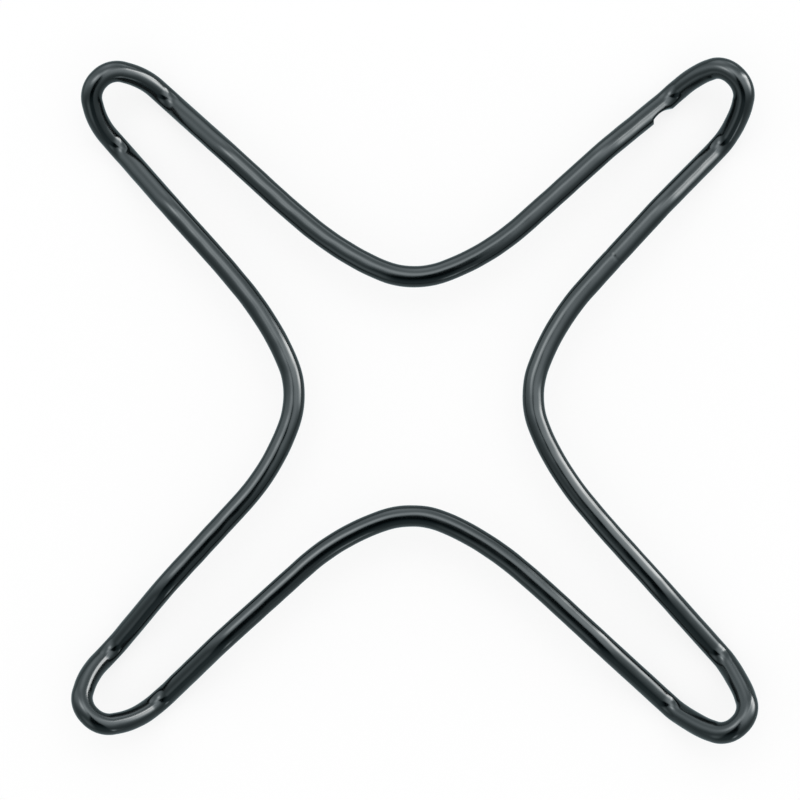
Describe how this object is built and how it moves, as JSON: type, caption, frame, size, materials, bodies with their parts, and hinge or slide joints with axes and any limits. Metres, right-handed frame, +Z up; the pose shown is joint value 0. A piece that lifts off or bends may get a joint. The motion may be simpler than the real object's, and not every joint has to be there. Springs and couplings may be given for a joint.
{
  "type": "wire hob reducer",
  "caption": "Cross-shaped hob reducer bent from a closed loop of black enamelled round wire; slotted arms dip, then turn up at the tips, to carry small pots over a burner.",
  "frame": {"origin": "centre of the cross, on the surface that the part stands on", "axes": "+Z up, square to the flat middle of the cross; +X and +Y along two neighbouring arms"},
  "size_m": [0.176, 0.176, 0.0116],
  "materials": {
    "black_enamel": "glossy black vitreous enamel on steel wire"
  },
  "bodies": {
    "root": {"wire_cross": "black_enamel"}
  },
  "joints": []
}
